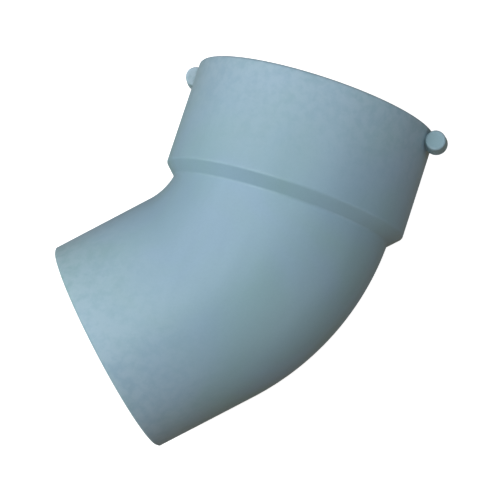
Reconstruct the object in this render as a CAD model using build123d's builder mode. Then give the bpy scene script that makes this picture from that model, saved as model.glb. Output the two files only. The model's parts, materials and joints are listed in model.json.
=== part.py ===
from build123d import *

import os
from math import atan2, cos, degrees, radians, sin

# Rigid PVC conduit elbow, 45 degrees, 4-inch trade size (metric designator 103), with a
# solvent-weld socket at one end and a plain spigot at the other. Millimetres.
#
# The real fitting is one injection moulding. It is divided here, by flat cuts across its
# wall, into the regions that have a name: socket bell, shoulder with the pipe stop, bend,
# spigot and two lugs. Neighbouring regions share a face and never overlap.
#
# Frame: the elbow lies on its side with its bend in the XY plane and +Z up. The origin is
# the centre of the pipe stop, where the conduit in the socket ends. +Y runs out of the
# socket along its axis. The bend turns from -Y towards -X, so the heel (the outside of the
# bend) is on the +X side and the throat (the inside) on the -X side.

# Conduit that the elbow joins: 4-inch trade size, Schedule 40
CONDUIT_OUTER_RADIUS = 57.15
CONDUIT_WALL = 6.02

# Centreline: a short straight neck below the pipe stop, and then the bend
BEND_NECK = 3.0
BEND_ANGLE = 45.0
BEND_RADIUS = 84.8

# Socket bell
SOCKET_DEPTH = 52.0
SOCKET_GAP = 0.20
SOCKET_WALL = 6.05
MOUTH_RIM_ROUND = 1.6
MOUTH_LEAD_IN = 1.2

# Shoulder between the socket and the bend, and the pipe stop inside it
SHOULDER_LAND = 2.8
SHOULDER_CORNER_ROUND = 2.0
SHOULDER_FOOT_ROUND = 2.0
SHOULDER_BEND_ANGLE = 18.0
STOP_EDGE_ROUND = 1.0

# Spigot
SPIGOT_LENGTH = 55.0
SPIGOT_OUTER_CHAMFER = 1.0
SPIGOT_BORE_ROUND = 0.8

# Lugs: two short round pegs across the bend plane, fused to the socket wall near its mouth.
# They taper towards +Z. The heel side lug stands clear of the bend plane, the throat side
# lug straddles it.
LUG_BASE_RADIUS = 5.9
LUG_TOP_RADIUS = 5.1
LUG_HEIGHT = 10.0
LUG_EDGE_ROUND = 1.0
LUG_BELOW_MOUTH = 6.0
HEEL_LUG_STANDOFF = 3.2
HEEL_LUG_RISE = 13.0
THROAT_LUG_STANDOFF = 1.1
THROAT_LUG_RISE = -2.2

# Worked out from the dimensions above
BORE_RADIUS = CONDUIT_OUTER_RADIUS - CONDUIT_WALL
SOCKET_BORE_RADIUS = CONDUIT_OUTER_RADIUS + SOCKET_GAP
SOCKET_OUTER_RADIUS = SOCKET_BORE_RADIUS + SOCKET_WALL
CONE_ROOT_RADIUS = CONDUIT_OUTER_RADIUS - CONDUIT_WALL / 3
CONE_ROOT_Y = -SHOULDER_LAND - (SOCKET_OUTER_RADIUS - CONE_ROOT_RADIUS)
LUG_AXIS_Y = SOCKET_DEPTH - LUG_BELOW_MOUTH
LUG_TAPER_ANGLE = degrees(atan2(LUG_BASE_RADIUS - LUG_TOP_RADIUS, LUG_HEIGHT))


def bend_plane(angle):
    """Plane across the bend, with its normal along the bore and away from the socket."""
    turned = radians(angle)
    centre = (BEND_RADIUS * (cos(turned) - 1), -BEND_NECK - BEND_RADIUS * sin(turned), 0)
    return Plane(origin=centre, x_dir=(0, 0, 1), z_dir=(-sin(turned), -cos(turned), 0))


bend_axis = Axis((-BEND_RADIUS, -BEND_NECK, 0), (0, 0, -1))
stop_plane = Plane(origin=(0, 0, 0), x_dir=(0, 0, 1), z_dir=(0, 1, 0))


# Socket bell: a ring from the pipe stop to the mouth, with its rim rounded outside and a
# lead-in inside
with BuildPart() as socket_bell:
    with BuildSketch(stop_plane):
        Circle(SOCKET_OUTER_RADIUS)
        Circle(SOCKET_BORE_RADIUS, mode=Mode.SUBTRACT)
    extrude(amount=SOCKET_DEPTH)
    mouth_edges = socket_bell.edges().group_by(Axis.Y)[-1].sort_by(SortBy.RADIUS)
    chamfer(mouth_edges[0], length=MOUTH_LEAD_IN)
    fillet(mouth_edges[-1], radius=MOUTH_RIM_ROUND)
socket_bell.part.label = "socket_bell"


# Shoulder and pipe stop: the neck and the first stretch of the bend, with a 45 degree cone
# around them that widens them to the socket's outer diameter. Its end wall inside the socket
# is the stop.
with BuildPart() as shoulder_stop_ring:
    with BuildSketch(bend_plane(0)):
        Circle(CONDUIT_OUTER_RADIUS)
    extrude(amount=-BEND_NECK)
    with BuildSketch(bend_plane(0)):
        Circle(CONDUIT_OUTER_RADIUS)
    revolve(axis=bend_axis, revolution_arc=SHOULDER_BEND_ANGLE)
    with BuildSketch(Plane.XY) as cone_section:
        with BuildLine():
            Polyline(
                (0, 0),
                (SOCKET_OUTER_RADIUS, 0),
                (SOCKET_OUTER_RADIUS, -SHOULDER_LAND),
                (CONE_ROOT_RADIUS, CONE_ROOT_Y),
                (0, CONE_ROOT_Y),
                close=True,
            )
        make_face()
        shoulder_corner = cone_section.vertices().group_by(Axis.X)[-1].sort_by(Axis.Y)[0]
        fillet(shoulder_corner, radius=SHOULDER_CORNER_ROUND)
    revolve(axis=Axis.Y)
    shoulder_foot = shoulder_stop_ring.edges().filter_by(GeomType.BSPLINE)
    fillet(shoulder_foot, radius=SHOULDER_FOOT_ROUND)
    with BuildSketch(bend_plane(0)):
        Circle(BORE_RADIUS)
    extrude(amount=-BEND_NECK, mode=Mode.SUBTRACT)
    with BuildSketch(bend_plane(0)):
        Circle(BORE_RADIUS)
    revolve(axis=bend_axis, revolution_arc=SHOULDER_BEND_ANGLE, mode=Mode.SUBTRACT)
    stop_edge = shoulder_stop_ring.edges().group_by(Axis.Y)[-1].sort_by(SortBy.RADIUS)[0]
    fillet(stop_edge, radius=STOP_EDGE_ROUND)
shoulder_stop_ring.part.label = "shoulder_stop_ring"


# Bend tube: the rest of the bend, at the conduit's own diameter and wall
with BuildPart() as bend_tube:
    with BuildSketch(bend_plane(SHOULDER_BEND_ANGLE)):
        Circle(CONDUIT_OUTER_RADIUS)
        Circle(BORE_RADIUS, mode=Mode.SUBTRACT)
    revolve(axis=bend_axis, revolution_arc=BEND_ANGLE - SHOULDER_BEND_ANGLE)
bend_tube.part.label = "bend_tube"


# Spigot end: straight conduit-sized tube, with its outer edge bevelled to enter a socket
# and its bore edge rounded so that cable jackets pull over it
with BuildPart() as spigot_end:
    with BuildSketch(bend_plane(BEND_ANGLE)):
        Circle(CONDUIT_OUTER_RADIUS)
        Circle(BORE_RADIUS, mode=Mode.SUBTRACT)
    extrude(amount=SPIGOT_LENGTH)
    bore_direction = Axis((0, 0, 0), bend_plane(BEND_ANGLE).z_dir)
    end_edges = spigot_end.edges().group_by(bore_direction)[-1].sort_by(SortBy.RADIUS)
    fillet(end_edges[0], radius=SPIGOT_BORE_ROUND)
    chamfer(end_edges[-1], length=SPIGOT_OUTER_CHAMFER)
spigot_end.part.label = "spigot_end"


# Heel side lug: a tapered round peg whose axis is just outside the socket wall, with its
# inner side cut to the wall
with BuildPart() as lug_heel_side:
    with BuildSketch(Plane.XY.offset(HEEL_LUG_RISE - LUG_HEIGHT / 2)):
        with Locations((SOCKET_OUTER_RADIUS + HEEL_LUG_STANDOFF, LUG_AXIS_Y)):
            Circle(LUG_BASE_RADIUS)
    extrude(amount=LUG_HEIGHT, taper=LUG_TAPER_ANGLE)
    fillet(lug_heel_side.edges().filter_by(GeomType.CIRCLE), radius=LUG_EDGE_ROUND)
    with BuildSketch(stop_plane):
        Circle(SOCKET_OUTER_RADIUS)
    extrude(amount=SOCKET_DEPTH, mode=Mode.SUBTRACT)
lug_heel_side.part.label = "lug_heel_side"


# Throat side lug: the same peg on the opposite side of the socket
with BuildPart() as lug_throat_side:
    with BuildSketch(Plane.XY.offset(THROAT_LUG_RISE - LUG_HEIGHT / 2)):
        with Locations((-SOCKET_OUTER_RADIUS - THROAT_LUG_STANDOFF, LUG_AXIS_Y)):
            Circle(LUG_BASE_RADIUS)
    extrude(amount=LUG_HEIGHT, taper=LUG_TAPER_ANGLE)
    fillet(lug_throat_side.edges().filter_by(GeomType.CIRCLE), radius=LUG_EDGE_ROUND)
    with BuildSketch(stop_plane):
        Circle(SOCKET_OUTER_RADIUS)
    extrude(amount=SOCKET_DEPTH, mode=Mode.SUBTRACT)
lug_throat_side.part.label = "lug_throat_side"


os.makedirs("parts", exist_ok=True)
export_step(socket_bell.part, "parts/socket_bell.step")
export_step(shoulder_stop_ring.part, "parts/shoulder_stop_ring.step")
export_step(bend_tube.part, "parts/bend_tube.step")
export_step(spigot_end.part, "parts/spigot_end.step")
export_step(lug_heel_side.part, "parts/lug_heel_side.step")
export_step(lug_throat_side.part, "parts/lug_throat_side.step")
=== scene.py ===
import json
from math import cos, pi, radians, sin, tan

import bmesh
import bpy
import numpy as np
from mathutils import Euler, Matrix, Vector


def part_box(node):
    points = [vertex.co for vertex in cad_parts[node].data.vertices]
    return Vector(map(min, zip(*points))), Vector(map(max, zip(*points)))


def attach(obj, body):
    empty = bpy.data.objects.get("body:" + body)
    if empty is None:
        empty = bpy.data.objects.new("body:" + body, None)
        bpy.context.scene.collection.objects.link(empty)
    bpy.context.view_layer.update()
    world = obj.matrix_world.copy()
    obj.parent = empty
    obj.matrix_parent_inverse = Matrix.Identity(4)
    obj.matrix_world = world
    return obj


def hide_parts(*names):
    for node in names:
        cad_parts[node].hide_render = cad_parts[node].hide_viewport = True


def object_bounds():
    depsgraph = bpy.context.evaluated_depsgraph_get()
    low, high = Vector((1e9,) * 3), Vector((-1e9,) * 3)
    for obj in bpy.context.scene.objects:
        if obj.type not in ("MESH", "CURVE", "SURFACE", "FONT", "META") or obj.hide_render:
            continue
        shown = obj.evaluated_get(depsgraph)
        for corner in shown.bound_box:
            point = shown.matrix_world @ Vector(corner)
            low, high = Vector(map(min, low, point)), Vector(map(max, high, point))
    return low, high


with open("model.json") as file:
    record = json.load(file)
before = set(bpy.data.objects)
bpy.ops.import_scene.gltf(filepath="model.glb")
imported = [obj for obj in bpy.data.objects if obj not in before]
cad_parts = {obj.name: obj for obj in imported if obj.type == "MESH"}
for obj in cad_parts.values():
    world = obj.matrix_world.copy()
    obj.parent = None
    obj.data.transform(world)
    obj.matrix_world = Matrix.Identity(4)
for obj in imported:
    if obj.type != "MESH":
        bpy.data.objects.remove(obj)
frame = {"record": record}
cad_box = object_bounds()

# The look of a 45 degree PVC conduit elbow. Every CAD region keeps its place and size, and
# is shown by a finely meshed skin of the same shape, so that the one moulding reads as one
# surface. Lengths are metres in the CAD frame: the socket opens along +Y, the bend lies in
# the XY plane and turns towards -X, and +Z is up.

MM = 0.001

# ---------------------------------------------------------------- edge shapes and rounds
MOUTH_RIM_ROUND = 1.6 * MM
MOUTH_LEAD_IN = 1.2 * MM
STOP_EDGE_ROUND = 1.0 * MM
SPIGOT_CHAMFER = 1.0 * MM
SPIGOT_BORE_ROUND = 0.8 * MM
SOFT_EDGE = 0.3 * MM          # every other moulded edge is softened by this much
SHOULDER_LAND = 2.8 * MM
SHOULDER_CORNER_ROUND = 2.0 * MM
SHOULDER_SLOPE = pi / 4
SHOULDER_FOOT_BLEND = 0.6 * MM
SHOULDER_FOOT_Y = -10.5 * MM  # just below the foot of the shoulder, all the way round
LUG_EDGE_ROUND = 1.0 * MM
LUG_TAPER = 0.08              # radius lost per unit of a lug's height
LUG_ROOT_FILLET = 0.5 * MM
LUG_SUNK = 0.03 * MM          # the foot of the fillet ends this far below the wall's surface
LUG_BURIED = 0.5 * MM         # the root of a lug reaches this deep into the wall

# Mould parting line: a hair of raised flash where the bend plane cuts the outer surface
PARTING_HEIGHT = 0.10 * MM
PARTING_WIDTH = 0.22 * MM

# ---------------------------------------------------------------- sizes from the frame
mounts = {mount["name"]: mount for mount in frame["record"]["mounts"]}
SOCKET_BORE = mounts["socket"]["dims"]["r_mm"] * MM
TUBE_OUTER = mounts["spigot"]["dims"]["r_mm"] * MM
TUBE_BORE = mounts["raceway_at_spigot"]["dims"]["r_mm"] * MM
SOCKET_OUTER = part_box("socket_bell")[1].z
SOCKET_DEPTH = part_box("socket_bell")[1].y

# The spigot's pin starts where the bend ends, which gives the radius of the bend and the
# short straight neck between the pipe stop and the bend
spigot_axis = Vector(mounts["spigot"]["axis"])
spigot_straight = mounts["spigot"]["dims"]["length_mm"] * MM
bend_end = Vector(mounts["spigot"]["pos_m"]) - spigot_axis * spigot_straight / 2
BEND_ANGLE = spigot_axis.angle(Vector((0, -1, 0)))
BEND_RADIUS = -bend_end.x / (1 - cos(BEND_ANGLE))
BEND_NECK = -bend_end.y - BEND_RADIUS * sin(BEND_ANGLE)
SPIGOT_START = BEND_NECK + BEND_RADIUS * BEND_ANGLE
SPIGOT_END = SPIGOT_START + spigot_straight + SPIGOT_CHAMFER

# The shoulder region ends where the heel of the bend reaches that region's lowest Y
shoulder_drop = -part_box("shoulder_stop_ring")[0].y - BEND_NECK
SHOULDER_TURN = np.arcsin(shoulder_drop / (BEND_RADIUS + TUBE_OUTER))
SHOULDER_END = BEND_NECK + SHOULDER_TURN * BEND_RADIUS

# ---------------------------------------------------------------- mesh building
SIDES = 240
ARC_STEPS = 6                 # faces along each rounded edge
LONG_STEP = 4 * MM            # longest step along a straight stretch
BEND_STEP = 1.5 * MM          # longest step along the bend
HALVINGS = 40                 # enough to find a surface to well under a micrometre
CRISP_ANGLE = radians(30)     # faces that meet at more than this are shaded as a true edge

# Extra angles on both sides of the parting line, from their distances over the tube's surface
BESIDE_PARTING = np.array([0.10, 0.20, 0.32, 0.50, 0.80]) * MM / TUBE_OUTER


def section_angles():
    """Angles round a cross-section from the heel: even, with more beside the parting line."""
    even = np.linspace(0, 2 * pi, SIDES, endpoint=False)
    beside = [BESIDE_PARTING, pi - BESIDE_PARTING, pi + BESIDE_PARTING, 2 * pi - BESIDE_PARTING]
    return np.sort(np.concatenate([even, *beside]))


AROUND = section_angles()
BEND_AXIS = np.array([-BEND_RADIUS, -BEND_NECK, 0])


def station(run):
    """Centre of the bore, and the direction towards the heel, at a run along the centreline.

    The run is 0 at the pipe stop, negative in the socket and positive towards the spigot."""
    past_neck = run - BEND_NECK
    turn = min(max(past_neck / BEND_RADIUS, 0), BEND_ANGLE)
    heel = np.array([cos(turn), -sin(turn), 0])
    along = np.array([-sin(turn), -cos(turn), 0])
    return BEND_AXIS + BEND_RADIUS * heel + (past_neck - turn * BEND_RADIUS) * along, heel


def section_rays(heel):
    """Unit directions from the bore's centre, one for each angle round the section."""
    return np.cos(AROUND)[:, None] * heel + np.sin(AROUND)[:, None] * np.array([0, 0, 1])


def with_parting_line(points, rays):
    """Raises the points near the bend plane into the fine ridge of the parting line."""
    ridge = PARTING_HEIGHT * np.exp(-((points[:, 2] / PARTING_WIDTH) ** 2))
    return points + rays * ridge[:, None]


def with_rub_and_painted_light(points, rub_and_painted_light):
    """Adds to each point its rub from handling, where 1 is usual for an edge, and painted light on
    the throat lug.
    """
    return np.column_stack([points, np.broadcast_to(rub_and_painted_light, len(points))])


def section_ring(outline_point, outer_radius=None):
    """One circle of points round the bore. It has the parting line if it is outermost."""
    run, radius, rub_and_painted_light = outline_point
    centre, heel = station(run)
    rays = section_rays(heel)
    points = centre + radius * rays
    if radius == outer_radius:
        points = with_parting_line(points, rays)
    return with_rub_and_painted_light(points, rub_and_painted_light)


def rounded(corners):
    """Turns the (run, radius, rounding) corners of a closed outline into points with arcs.

    The points are (run, radius, rub), and the rub is full on each rounded edge."""
    points = []
    for index, (run, radius, rounding) in enumerate(corners):
        here = Vector((run, radius))
        if rounding == 0:
            points.append(here.resized(3))
            continue
        before = (Vector(corners[index - 1][:2]) - here).normalized()
        after = (Vector(corners[(index + 1) % len(corners)][:2]) - here).normalized()
        half = before.angle(after) / 2
        centre = here + (before + after).normalized() * rounding / sin(half)
        start = here + before * rounding / tan(half) - centre
        sweep = -start.angle_signed(here + after * rounding / tan(half) - centre)
        for step in range(ARC_STEPS + 1):
            arm = Matrix.Rotation(sweep * step / ARC_STEPS, 2) @ start
            points.append(Vector((*(centre + arm), 1.0)))
    return points


def spaced(outline, longest, closed=True):
    """Adds points along an outline, so that no straight step is longer than asked.

    An open outline loses its last point, which is where another outline starts."""
    points = []
    for here, there in zip(outline, outline[1:] + outline[:1 if closed else 0]):
        parts = max(1, int(np.ceil((there - here).xy.length / longest)))
        points += [here.lerp(there, part / parts) for part in range(parts)]
    return points


def skin(rings, closed=True):
    """Points and faces of a closed surface through rings that have equal counts.

    A closed stack joins its last ring to its first. Otherwise a fan caps each end."""
    count = len(rings[0])
    points = [tuple(point) for ring in rings for point in ring]
    faces = []
    for index in range(len(rings) if closed else len(rings) - 1):
        low = index * count
        high = (index + 1) % len(rings) * count
        for column in range(count):
            beside = (column + 1) % count
            faces.append((low + column, low + beside, high + beside, high + column))
    if not closed:
        for first in (0, (len(rings) - 1) * count):
            points.append(tuple(np.mean(points[first:first + count], axis=0)))
            tip = len(points) - 1
            faces += [(first + c, first + (c + 1) % count, tip) for c in range(count)]
    return points, faces


def mesh_object(name, points, faces, material):
    """A smooth-shaded object with its faces turned outwards and true edges kept crisp."""
    mesh = bpy.data.meshes.new(name)
    mesh.from_pydata([point[:3] for point in points], [], faces)
    rub_and_painted_light = mesh.attributes.new("rub_and_painted_light", "FLOAT", "POINT")
    rub_and_painted_light.data.foreach_set("value", [point[3] for point in points])
    shape = bmesh.new()
    shape.from_mesh(mesh)
    bmesh.ops.recalc_face_normals(shape, faces=shape.faces)
    shape.to_mesh(mesh)
    shape.free()
    mesh.shade_smooth()
    mesh.set_sharp_from_angle(angle=CRISP_ANGLE)
    mesh.materials.append(material)
    made = bpy.data.objects.new(name, mesh)
    bpy.context.scene.collection.objects.link(made)
    return made


def show_as(node, points, faces, material):
    """Shows a CAD node by a new skin of the same shape."""
    piece = mesh_object(node + "_skin", points, faces, material)
    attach(piece, "root")
    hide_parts(node)


# ---------------------------------------------------------------- socket bell
def make_socket_bell(material):
    """The straight bell, with a rounded rim and a lead-in at its mouth."""
    outline = spaced(rounded([
        (0, SOCKET_OUTER, 0),
        (-SOCKET_DEPTH, SOCKET_OUTER, MOUTH_RIM_ROUND),
        (-SOCKET_DEPTH, SOCKET_BORE + MOUTH_LEAD_IN, SOFT_EDGE),
        (-SOCKET_DEPTH + MOUTH_LEAD_IN, SOCKET_BORE, SOFT_EDGE),
        (0, SOCKET_BORE, 0),
    ]), LONG_STEP)
    rings = [section_ring(point, outline[0].y) for point in outline]
    show_as("socket_bell", *skin(rings), material)


# ---------------------------------------------------------------- shoulder and pipe stop
CORNER_TOP = -SHOULDER_LAND + SHOULDER_CORNER_ROUND * tan(SHOULDER_SLOPE / 2)
CORNER_FOOT = CORNER_TOP - SHOULDER_CORNER_ROUND * sin(SHOULDER_SLOPE)
CORNER_RUB = 0.05
FOOT_ROWS_Y = -6.5 * MM       # rows are closer together below this, where the foot blends
LAND_ROWS = 3
CORNER_ROWS = 6
CONE_ROWS = 5
FOOT_ROWS = 22
FAN_ROWS = 17


def cone_radius(y):
    """Shoulder radius at a height: a straight land, a rounded corner and a 45 degree cone."""
    if y >= CORNER_TOP:
        return SOCKET_OUTER
    if y >= CORNER_FOOT:
        reach_squared = SHOULDER_CORNER_ROUND ** 2 - (CORNER_TOP - y) ** 2
        return SOCKET_OUTER - SHOULDER_CORNER_ROUND + reach_squared ** 0.5
    return SOCKET_OUTER + SHOULDER_LAND + y


def shoulder_radius(y, azimuth):
    """Distance of the shoulder's surface from the socket axis, found by halving each ray.

    The surface is the cone and the bend together, with a small fillet between them."""
    inside = np.full_like(azimuth, TUBE_BORE)
    outside = np.full_like(azimuth, SOCKET_OUTER + MM)
    for _ in range(HALVINGS):
        reach = (inside + outside) / 2
        from_bend_axis = np.hypot(reach * np.cos(azimuth) + BEND_RADIUS, min(y + BEND_NECK, 0))
        off_bend = np.hypot(from_bend_axis - BEND_RADIUS, reach * np.sin(azimuth)) - TUBE_OUTER
        off_cone = (reach - cone_radius(y)) * cos(SHOULDER_SLOPE)
        fillet = np.hypot(
            np.maximum(SHOULDER_FOOT_BLEND - off_bend, 0),
            np.maximum(SHOULDER_FOOT_BLEND - off_cone, 0),
        )
        nearest = np.minimum(off_bend, off_cone)
        is_outside = np.maximum(SHOULDER_FOOT_BLEND, nearest) > fillet
        outside = np.where(is_outside, reach, outside)
        inside = np.where(is_outside, inside, reach)
    return (inside + outside) / 2


def bend_ring(turn):
    """Outer surface of the bend at a turn of its own for each angle round the section."""
    heel = np.stack([np.cos(turn), -np.sin(turn), 0 * turn], axis=1)
    rays = section_rays(heel)
    return BEND_AXIS + BEND_RADIUS * heel + TUBE_OUTER * rays, rays


def make_shoulder_stop_ring(material):
    """Shoulder, pipe stop and start of the bend.

    Level rows run down the shoulder to just below its foot. From there, rows fan out over
    the bend until they reach the flat cut across it."""
    foot_drop = -SHOULDER_FOOT_Y - BEND_NECK
    foot_turn = np.arcsin(foot_drop / (BEND_RADIUS + TUBE_OUTER * np.cos(AROUND)))
    foot, _ = bend_ring(foot_turn)
    foot_azimuth = np.arctan2(foot[:, 2], foot[:, 0]) % (2 * pi)
    rings = []
    for y in np.concatenate([
        np.linspace(0, CORNER_TOP, LAND_ROWS, endpoint=False),
        np.linspace(CORNER_TOP, CORNER_FOOT, CORNER_ROWS, endpoint=False),
        np.linspace(CORNER_FOOT, FOOT_ROWS_Y, CONE_ROWS, endpoint=False),
        np.linspace(FOOT_ROWS_Y, SHOULDER_FOOT_Y, FOOT_ROWS),
    ]):
        azimuth = AROUND + (foot_azimuth - AROUND) * y / SHOULDER_FOOT_Y
        rays = np.stack([np.cos(azimuth), 0 * azimuth, np.sin(azimuth)], axis=1)
        points = rays * shoulder_radius(y, azimuth)[:, None] + np.array([0, y, 0])
        rub_and_painted_light = CORNER_RUB if CORNER_FOOT <= y <= CORNER_TOP else 0.0
        rings.append(with_rub_and_painted_light(with_parting_line(points, rays), rub_and_painted_light))
    for share in np.linspace(0, 1, FAN_ROWS + 1)[1:]:
        points = with_parting_line(*bend_ring(foot_turn + (SHOULDER_TURN - foot_turn) * share))
        rings.append(with_rub_and_painted_light(points, 0.0))
    bore_and_stop = rounded([
        (SHOULDER_END, TUBE_BORE, 0),
        (0, TUBE_BORE, STOP_EDGE_ROUND),
        (0, SOCKET_OUTER, 0),
    ])
    rings += [section_ring(point) for point in spaced(bore_and_stop, BEND_STEP, closed=False)]
    show_as("shoulder_stop_ring", *skin(rings), material)


# ---------------------------------------------------------------- bend and spigot
def make_bend_tube(material):
    """The rest of the bend, as a plain tube."""
    outline = spaced(rounded([
        (SHOULDER_END, TUBE_OUTER, 0),
        (SPIGOT_START, TUBE_OUTER, 0),
        (SPIGOT_START, TUBE_BORE, 0),
        (SHOULDER_END, TUBE_BORE, 0),
    ]), BEND_STEP)
    rings = [section_ring(point, outline[0].y) for point in outline]
    show_as("bend_tube", *skin(rings), material)


def make_spigot_end(material):
    """The straight spigot, bevelled outside and rounded inside at its end."""
    outline = spaced(rounded([
        (SPIGOT_START, TUBE_OUTER, 0),
        (SPIGOT_END - SPIGOT_CHAMFER, TUBE_OUTER, SOFT_EDGE),
        (SPIGOT_END, TUBE_OUTER - SPIGOT_CHAMFER, SOFT_EDGE),
        (SPIGOT_END, TUBE_BORE, SPIGOT_BORE_ROUND),
        (SPIGOT_START, TUBE_BORE, 0),
    ]), LONG_STEP)
    rings = [section_ring(point, outline[0].y) for point in outline]
    show_as("spigot_end", *skin(rings), material)


# ---------------------------------------------------------------- lugs
LUG_COLUMNS = 300
LUG_ROWS = 180
LUG_REACH = 12 * MM           # longer than any ray from a lug's middle to its surface
LUG_STRIDE = 0.2 * MM
LUG_RUB_SPREAD = 0.5          # the rub fades out over this share of the edge round beside it
THROAT_LUG_PAINTED_LIGHT = 2.4          # painted light: this lug is made pale all over, as if lit more than the other


def off_socket_wall(points):
    """Distance of points from the outside of the socket, with its rounded rim."""
    past_wall = np.hypot(points[:, 0], points[:, 2]) - SOCKET_OUTER + MOUTH_RIM_ROUND
    past_mouth = points[:, 1] - SOCKET_DEPTH + MOUTH_RIM_ROUND
    off_edge = np.hypot(np.maximum(past_wall, 0), np.maximum(past_mouth, 0))
    return off_edge + np.minimum(np.maximum(past_wall, past_mouth), 0) - MOUTH_RIM_ROUND


def lug_rays():
    """Unit directions all round, in rows from just beside +Z down to just beside -Z."""
    tilts = np.linspace(0, pi, LUG_ROWS)[1:-1]
    turns = np.linspace(0, 2 * pi, LUG_COLUMNS, endpoint=False)
    tilt, turn = np.meshgrid(tilts, turns, indexing="ij")
    rays = [np.sin(tilt) * np.cos(turn), np.sin(tilt) * np.sin(turn), np.cos(tilt)]
    return np.stack(rays, axis=-1).reshape(-1, 3)


def make_lug(node, material, painted_light_floor=0.0):
    """A short tapered peg across the bend plane, fused to the socket wall by a fillet.

    Each ray from the peg's middle strides to where it first leaves the peg, and that stride
    is halved down to the surface. The root is buried a little in the wall. The rub of every
    point is raised to at least the given floor, which is painted light that makes the peg pale."""
    low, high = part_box(node)
    outwards = 1 if high.x > 0 else -1
    tip_x = high.x if outwards > 0 else low.x
    widest = (high.y - low.y) / 2
    middle = np.array([tip_x - outwards * widest, *((low + high) / 2)[1:]])

    def past_rounds(points):
        """How far points are past the start of the edge rounds, on the side and end faces."""
        offset = points - middle
        side_radius = widest - LUG_TAPER * (points[:, 2] - low.z - LUG_EDGE_ROUND)
        off_side = np.hypot(offset[:, 0], offset[:, 1]) - side_radius
        off_face = np.abs(offset[:, 2]) - (high.z - low.z) / 2
        return off_side + LUG_EDGE_ROUND, off_face + LUG_EDGE_ROUND

    def is_outside(points):
        """Whether points are off the peg and its fillet, past the mouth or deep in the wall."""
        off_side, off_face = past_rounds(points)
        off_edge = np.hypot(np.maximum(off_side, 0), np.maximum(off_face, 0))
        off_peg = off_edge + np.minimum(np.maximum(off_side, off_face), 0) - LUG_EDGE_ROUND
        off_wall = off_socket_wall(points) + LUG_SUNK
        fillet = np.hypot(
            np.maximum(LUG_ROOT_FILLET - off_peg, 0), np.maximum(LUG_ROOT_FILLET - off_wall, 0)
        )
        past_fillet = np.maximum(LUG_ROOT_FILLET, np.minimum(off_peg, off_wall)) > fillet
        past_mouth = points[:, 1] > SOCKET_DEPTH
        is_buried = off_wall < -LUG_BURIED
        return past_fillet | past_mouth | is_buried | (off_peg > LUG_ROOT_FILLET)

    rays = lug_rays()
    near = np.zeros(len(rays))
    has_left = np.full(len(rays), False)
    for stride_end in np.arange(LUG_STRIDE, LUG_REACH, LUG_STRIDE):
        has_left |= is_outside(middle + stride_end * rays)
        near = np.where(has_left, near, stride_end)
    far = near + LUG_STRIDE
    for _ in range(HALVINGS):
        reach = (near + far) / 2
        beyond = is_outside(middle + reach[:, None] * rays)
        far = np.where(beyond, reach, far)
        near = np.where(beyond, near, reach)
    points = middle + near[:, None] * rays
    past_round = np.minimum(*past_rounds(points)) / LUG_EDGE_ROUND
    on_edge = np.clip(past_round + LUG_RUB_SPREAD, 0, 1)
    rings = with_rub_and_painted_light(points, np.maximum(on_edge, painted_light_floor)).reshape(-1, LUG_COLUMNS, 4)
    show_as(node, *skin(rings, closed=False), material)


# ---------------------------------------------------------------- material
PVC_BLUE = (0.231, 0.346, 0.425, 1)
PVC_GREEN = (0.223, 0.349, 0.378, 1)
# The next colour is the pale of real scuffs and rubbed edges, and also the painted light on the
# throat lug
PVC_WORN_AND_PAINTED_LIGHT = (0.36, 0.46, 0.52, 1)
PVC_SHADED = (0.150, 0.225, 0.255, 1)
PVC_ROUGHNESS = (0.42, 0.50)
RUBBED_ROUGHNESS = 0.12       # how much rougher the plastic is where it is fully rubbed

# Bumps per metre of each pattern, where three numbers are along X, Y and Z
HUE_DRIFT = 17.0
FLOW_STREAKS = (90, 22, 90)
SPECKLE = 900.0
HAIRLINES = (25, 1400, 25)
SCUFFED_PATCHES = 26.0
RUBBED_PATCHES = 240.0
GLOSS_DRIFT = 70.0
ORANGE_PEEL = 260.0
MOULDED_GRAIN = 1300.0

# Range of the noise over which each pattern goes from its least to its most
HUE_RANGE = (0.35, 0.65)
SHADE_RANGE = (0.3, 0.7)
HAIRLINE_RANGE = (0.68, 0.76)
RUBBED_RANGE = (0.35, 0.6)

# How far each pattern shows in the colour
STREAK_SHADES = (0.98, 1.02)
SPECKLE_SHADES = (0.985, 1.015)
SCUFF_PALENESS = 0.12
RUB_AND_PAINTED_LIGHT_PALENESS = 0.45
LEAST_RUBBED = 0.25           # share of the rub that is left between its palest patches
# Painted shade in the creases, darker the more closed in each point is
CREASE_SIZE = 7 * MM
CREASE_SAMPLES = 8
CREASE_RANGE = (0.95, 0.45)   # share of open sky that goes from no painted shade to full painted shade
CREASE_PAINTED_SHADE = 0.25

# Height and strength of each pattern in the surface
PEEL_HEIGHT = 0.02 * MM
GRAIN_HEIGHT = 0.01 * MM
SCUFF_DEPTH = 0.015 * MM
PEEL_AND_GRAIN_STRENGTH = 0.5
SCUFF_STRENGTH = 0.4


def add_node(tree, kind, inputs, **settings):
    """Adds a shader node, with plain values or other nodes' outputs on its inputs."""
    node = tree.nodes.new("ShaderNode" + kind)
    for name, value in settings.items():
        setattr(node, name, value)
    for name, value in inputs.items():
        if isinstance(value, bpy.types.NodeSocket):
            tree.links.new(value, node.inputs[name])
        else:
            node.inputs[name].default_value = value
    return node.outputs


def noise(tree, place, scale, detail=2.0, distortion=0.0):
    """Smooth noise with a number of bumps per metre, as a value from 0 to 1."""
    inputs = {"Vector": place, "Scale": scale, "Detail": detail, "Distortion": distortion}
    return add_node(tree, "TexNoise", inputs)["Fac"]


def remap(tree, value, old, new):
    """Maps the range old of a value to the range new, and clamps it there."""
    inputs = {"Value": value, "From Min": old[0], "From Max": old[1]}
    inputs |= {"To Min": new[0], "To Max": new[1]}
    return add_node(tree, "MapRange", inputs)["Result"]


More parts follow.
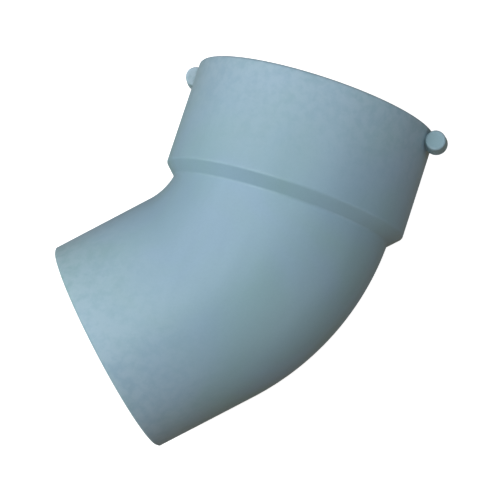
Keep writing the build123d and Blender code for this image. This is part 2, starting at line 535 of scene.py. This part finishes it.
def arithmetic(tree, operation, first, second):
    """One calculation on two values."""
    return add_node(tree, "Math", {0: first, 1: second}, operation=operation)["Value"]


def mixed(tree, share, first, second):
    """The first colour, with a share of the second in it."""
    inputs = {"Fac": share, "Color1": first, "Color2": second}
    return add_node(tree, "MixRGB", inputs)["Color"]


def hairlines(tree, place, turn, coverage):
    """Fine handling scuffs that run one way, in scattered patches, from 0 to 1."""
    inputs = {"Vector": place, "Rotation": turn, "Scale": HAIRLINES}
    across = add_node(tree, "Mapping", inputs)["Vector"]
    streak = remap(tree, noise(tree, across, 1.0), HAIRLINE_RANGE, (0, 1))
    patch = remap(tree, noise(tree, place, SCUFFED_PATCHES), coverage, (0, 1))
    return arithmetic(tree, "MULTIPLY", streak, patch)


def pvc():
    """Satin blue-grey rigid PVC, alike and unbroken over all the regions.

    It has a drift of hue from uneven pigment, a fine moulded grain, faint orange peel,
    scattered hairline scuffs and paler rubbed edges. The throat lug is pale all over, which is
    painted light, and the creases are darkened, which is painted shade."""
    made = bpy.data.materials.new("grey_blue_pvc")
    made.use_nodes = True
    tree = made.node_tree
    shader = tree.nodes["Principled BSDF"]
    place = add_node(tree, "TexCoord", {})["Object"]

    drift = noise(tree, place, HUE_DRIFT, detail=3.0, distortion=0.6)
    colour = mixed(tree, remap(tree, drift, HUE_RANGE, (0, 1)), PVC_BLUE, PVC_GREEN)
    flow = add_node(tree, "Mapping", {"Vector": place, "Scale": FLOW_STREAKS})["Vector"]
    streaks = noise(tree, flow, 1.0, detail=4.0, distortion=0.4)
    shade = arithmetic(
        tree, "MULTIPLY",
        remap(tree, streaks, SHADE_RANGE, STREAK_SHADES),
        remap(tree, noise(tree, place, SPECKLE), SHADE_RANGE, SPECKLE_SHADES),
    )
    colour = add_node(tree, "VectorMath", {0: colour, "Scale": shade}, operation="SCALE")["Vector"]

    scuffs = arithmetic(
        tree, "MAXIMUM",
        hairlines(tree, place, turn=(0.3, 0.1, 0.5), coverage=(0.56, 0.66)),
        hairlines(tree, place, turn=(0.1, 0.7, 2.1), coverage=(0.58, 0.68)),
    )
    paler_worn_and_painted_light = arithmetic(tree, "MULTIPLY", scuffs, SCUFF_PALENESS)
    colour = mixed(tree, paler_worn_and_painted_light, colour, PVC_WORN_AND_PAINTED_LIGHT)

    # Paler rubbed edges are real wear. On the throat lug the same value is raised all over, which
    # is painted light.
    edge_rub_and_painted_light = add_node(tree, "Attribute", {}, attribute_name="rub_and_painted_light")["Fac"]
    patches = noise(tree, place, RUBBED_PATCHES, detail=3.0)
    patches = remap(tree, patches, RUBBED_RANGE, (LEAST_RUBBED, 1))
    rubbed_and_painted_light = arithmetic(tree, "MULTIPLY", edge_rub_and_painted_light, patches)
    paler_worn_and_painted_light = arithmetic(tree, "MULTIPLY", rubbed_and_painted_light, RUB_AND_PAINTED_LIGHT_PALENESS)
    colour = mixed(tree, paler_worn_and_painted_light, colour, PVC_WORN_AND_PAINTED_LIGHT)

    # Painted shade: the colour darkens towards PVC_SHADED where the creases are closed in from the
    # sky
    nearby = {"Distance": CREASE_SIZE}
    open_sky = add_node(tree, "AmbientOcclusion", nearby, samples=CREASE_SAMPLES)["AO"]
    crease = remap(tree, open_sky, CREASE_RANGE, (0, CREASE_PAINTED_SHADE))
    colour = mixed(tree, crease, colour, PVC_SHADED)
    tree.links.new(colour, shader.inputs["Base Color"])

    uneven = noise(tree, place, GLOSS_DRIFT, detail=4.0)
    roughness = remap(tree, uneven, SHADE_RANGE, PVC_ROUGHNESS)
    rougher = arithmetic(tree, "MULTIPLY", rubbed_and_painted_light, RUBBED_ROUGHNESS)
    roughness = arithmetic(tree, "ADD", roughness, rougher)
    tree.links.new(roughness, shader.inputs["Roughness"])

    peel = add_node(tree, "Bump", {
        "Height": noise(tree, place, ORANGE_PEEL, detail=1.0),
        "Distance": PEEL_HEIGHT,
        "Strength": PEEL_AND_GRAIN_STRENGTH,
    })["Normal"]
    grain = add_node(tree, "Bump", {
        "Height": noise(tree, place, MOULDED_GRAIN, detail=1.0),
        "Distance": GRAIN_HEIGHT,
        "Strength": PEEL_AND_GRAIN_STRENGTH,
        "Normal": peel,
    })["Normal"]
    scratched = add_node(tree, "Bump", {
        "Height": scuffs,
        "Distance": SCUFF_DEPTH,
        "Strength": SCUFF_STRENGTH,
        "Normal": grain,
    }, invert=True)["Normal"]
    tree.links.new(scratched, shader.inputs["Normal"])
    return made


# ---------------------------------------------------------------- camera
CAMERA_TURN = Euler((radians(9.966), radians(7.275), radians(18.207)), "XYZ")
CAMERA_DISTANCE = 1.143
CAMERA_LENS = 161.094
AIM = Vector((-0.00858, -0.03268, 0.00221))


def make_camera():
    """A long-lens camera that looks down on the elbow lying on its side."""
    data = bpy.data.cameras.new("camera")
    data.lens = CAMERA_LENS
    camera = bpy.data.objects.new("camera", data)
    bpy.context.scene.collection.objects.link(camera)
    camera.rotation_euler = CAMERA_TURN
    camera.location = AIM + CAMERA_TURN.to_matrix() @ Vector((0, 0, CAMERA_DISTANCE))
    bpy.context.scene.camera = camera


# ---------------------------------------------------------------- light and floor
OBJECT_MIDDLE = (cad_box[0] + cad_box[1]) / 2
LAMP_DISTANCE = 1.0
LAMP_SIZE = 0.7
LAMPS = {                     # degrees off the line of sight, degrees round it, watts, colour
    "key": (30, 180, 6.3, (0.89, 0.97, 1.0)),
    "front": (30, 45, 3.3, (0.68, 0.80, 1.0)),
    "left": (75, 180, 3.4, (0.82, 0.97, 1.0)),
    "top": (60, 135, 2.4, (0.85, 0.80, 1.0)),
    "right": (60, 315, 1.4, (0.70, 0.70, 1.0)),
}
WHITE = (1, 1, 1, 1)
DIM_SKY = (0.18, 0.145, 0.08, 1)
FLOOR_HALF = 4.0
FLOOR_GREY = (0.5, 0.5, 0.5, 1)
FLOOR_ROUGHNESS = 0.9
FLOOR_GLOW = 0.88             # with the lamps on its grey, this makes the floor look white


def make_lamp(name, off_view, round_view, watts, colour):
    """A soft round lamp. Its direction is an angle off the camera's line of sight, and an
    angle round it, counted from the right of the view towards the top."""
    tilt, roll = radians(off_view), radians(round_view)
    seen = Vector((sin(tilt) * cos(roll), sin(tilt) * sin(roll), cos(tilt)))
    direction = CAMERA_TURN.to_matrix() @ seen
    data = bpy.data.lights.new(name, "AREA")
    data.shape = "DISK"
    data.size = LAMP_SIZE
    data.energy = watts
    data.color = colour
    lamp = bpy.data.objects.new(name, data)
    bpy.context.scene.collection.objects.link(lamp)
    lamp.location = OBJECT_MIDDLE + direction * LAMP_DISTANCE
    lamp.rotation_euler = direction.to_track_quat("Z", "Y").to_euler()


def make_world():
    """A plain white background to the eye, which lights the object only dimly."""
    world = bpy.data.worlds.new("studio")
    bpy.context.scene.world = world
    world.use_nodes = True
    tree = world.node_tree
    eye = add_node(tree, "LightPath", {})["Is Camera Ray"]
    colour = mixed(tree, eye, DIM_SKY, WHITE)
    tree.links.new(colour, tree.nodes["Background"].inputs["Color"])


def make_floor():
    """A plain floor that the elbow lies on. It glows enough to look white with a faint
    shadow, and throws no light at the object."""
    level = cad_box[0].z
    made = bpy.data.materials.new("white_floor")
    made.use_nodes = True
    shader = made.node_tree.nodes["Principled BSDF"]
    shader.inputs["Base Color"].default_value = FLOOR_GREY
    shader.inputs["Roughness"].default_value = FLOOR_ROUGHNESS
    shader.inputs["Emission Color"].default_value = WHITE
    shader.inputs["Emission Strength"].default_value = FLOOR_GLOW
    half = FLOOR_HALF
    corners = [(x * half, y * half, level, 0) for x, y in ((-1, -1), (1, -1), (1, 1), (-1, 1))]
    floor = mesh_object("floor", corners, [(0, 1, 2, 3)], made)
    floor.visible_diffuse = False
    floor.visible_glossy = False


plastic = pvc()
make_socket_bell(plastic)
make_shoulder_stop_ring(plastic)
make_bend_tube(plastic)
make_spigot_end(plastic)
make_lug("lug_heel_side", plastic)
make_lug("lug_throat_side", plastic, THROAT_LUG_PAINTED_LIGHT)
make_camera()
for lamp_name, lamp in LAMPS.items():
    make_lamp(lamp_name, *lamp)
make_world()
make_floor()
bpy.context.scene.view_settings.view_transform = "Standard"
